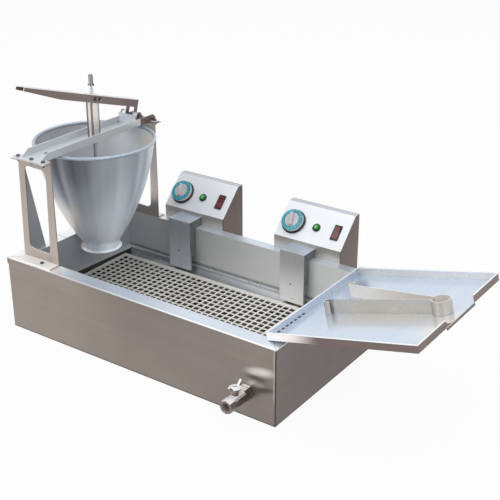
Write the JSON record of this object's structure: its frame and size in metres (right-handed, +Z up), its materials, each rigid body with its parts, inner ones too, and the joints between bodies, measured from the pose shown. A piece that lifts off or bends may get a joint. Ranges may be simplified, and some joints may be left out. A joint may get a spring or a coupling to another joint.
{
  "type": "donut fryer",
  "caption": "Tabletop donut fryer: sheet-steel oil bath with grate, lever-worked dough hopper on a portal frame, lift-in electric control heads, drain valve and hook-on draining tray.",
  "frame": {"origin": "middle of the casing's underside, on the table", "axes": "+X to the right towards the draining tray, -Y to the front where the drain is, +Z up"},
  "size_m": [1.0574, 0.5681, 0.5794],
  "materials": {
    "casing_steel": "satin stainless sheet",
    "bath_steel": "satin stainless sheet",
    "grate_steel": "punched stainless sheet",
    "frame_steel": "brushed stainless sheet",
    "lever_steel": "folded stainless sheet",
    "hopper_steel": "spun stainless sheet",
    "bolt_steel": "bright turned steel",
    "head_steel": "satin stainless sheet",
    "tray_steel": "satin stainless sheet",
    "tongs_steel": "bright stainless strip",
    "element_steel": "heat-tinted sheath",
    "sensor_copper": "dull copper",
    "valve_metal": "plated brass",
    "valve_chrome": "polished plating",
    "knob_plastic": "satin pale grey",
    "ring_plastic": "teal with printed marks",
    "black_plastic": "black moulding",
    "white_plastic": "white moulding",
    "lamp_green": "clear green lens",
    "rocker_red": "dark red rocker"
  },
  "bodies": {
    "fryer": {"outer_casing": "casing_steel", "bath_tank": "bath_steel", "perforated_grate": "grate_steel", "front_upright": "frame_steel", "rear_upright": "frame_steel", "bridge_channel": "frame_steel", "frame_bolts": "bolt_steel", "hopper": "hopper_steel", "dosing_cylinder": "hopper_steel", "pivot_bracket": "frame_steel", "pivot_pin": "bolt_steel", "pivot_spacers": "bolt_steel", "drain_nipple": "valve_metal", "drain_locknut": "valve_metal", "valve_body": "valve_metal", "head_housing_left": "head_steel", "head_housing_right": "head_steel", "head_back_left": "head_steel", "head_back_right": "head_steel", "neck_cover_left": "head_steel", "neck_cover_right": "head_steel", "thermostat_left": "black_plastic", "thermostat_right": "black_plastic", "knob_bezel_left": "black_plastic", "knob_bezel_right": "black_plastic", "lamp_body_left": "white_plastic", "lamp_body_right": "white_plastic", "lamp_lens_left": "lamp_green", "lamp_lens_right": "lamp_green", "switch_body_left": "black_plastic", "switch_body_right": "black_plastic", "heating_element_left": "element_steel", "heating_element_right": "element_steel", "sensor_bulb_left": "sensor_copper", "sensor_bulb_right": "sensor_copper", "terminal_block_left": "white_plastic", "terminal_block_right": "white_plastic", "cable_gland_left": "black_plastic", "cable_gland_right": "black_plastic"},
    "lever": {"press_lever": "lever_steel"},
    "plunger": {"plunger_tube": "frame_steel", "plunger_rod": "bolt_steel", "piston": "white_plastic", "forming_disc": "bolt_steel", "link_bolts": "bolt_steel"},
    "dose_nut": {"dose_nut": "bolt_steel"},
    "drain_valve": {"valve_ball": "valve_chrome", "valve_stem": "valve_metal", "valve_handle": "valve_chrome"},
    "tray": {"side_tray": "tray_steel", "tray_support": "tray_steel"},
    "tongs": {"tongs": "tongs_steel"},
    "knob_left": {"knob_left": "knob_plastic", "knob_ring_left": "ring_plastic"},
    "rocker_left": {"rocker_left": "rocker_red"},
    "knob_right": {"knob_right": "knob_plastic", "knob_ring_right": "ring_plastic"},
    "rocker_right": {"rocker_right": "rocker_red"}
  },
  "joints": [
    {"name": "lever_press", "type": "hinge", "parent": "fryer", "child": "lever", "pos_m": [-0.278, 0.141, 0.433], "axis": [1, 0, 0], "range_deg": [0, 17.2]},
    {"name": "plunger_slide", "type": "slide", "parent": "fryer", "child": "plunger", "axis": [0, 0, -1], "range_m": [0, 0.0401]},
    {"name": "dose_nut_turn", "type": "hinge", "parent": "plunger", "child": "dose_nut", "pos_m": [-0.278, 0.016, 0.54], "axis": [0, 0, 1], "continuous": true},
    {"name": "drain_turn", "type": "hinge", "parent": "fryer", "child": "drain_valve", "pos_m": [0.294, -0.239, 0.0585], "axis": [0, 0, 1], "range_deg": [0, 90]},
    {"name": "tray_lift", "type": "slide", "parent": "fryer", "child": "tray", "axis": [0, 0, 1], "range_m": [0, 0.08]},
    {"name": "tongs_lift", "type": "slide", "parent": "tray", "child": "tongs", "axis": [0, 0, 1], "range_m": [0, 0.08]},
    {"name": "knob_left_turn", "type": "hinge", "parent": "fryer", "child": "knob_left", "pos_m": [-0.196, 0.22729, 0.22758], "axis": [0, 0.7145, -0.6997], "range_deg": [0, 270]},
    {"name": "rocker_left_tip", "type": "hinge", "parent": "fryer", "child": "rocker_left", "pos_m": [-0.0845, 0.22729, 0.22758], "axis": [-1, 0, 0], "range_deg": [0, 16]},
    {"name": "knob_right_turn", "type": "hinge", "parent": "fryer", "child": "knob_right", "pos_m": [0.124, 0.22729, 0.22758], "axis": [0, 0.7145, -0.6997], "range_deg": [0, 270]},
    {"name": "rocker_right_tip", "type": "hinge", "parent": "fryer", "child": "rocker_right", "pos_m": [0.2355, 0.22729, 0.22758], "axis": [-1, 0, 0], "range_deg": [0, 16]}
  ],
  "couplings": [
    {"joint": "plunger_slide", "follows": "lever_press", "m_per_rad": 0.13318}
  ]
}
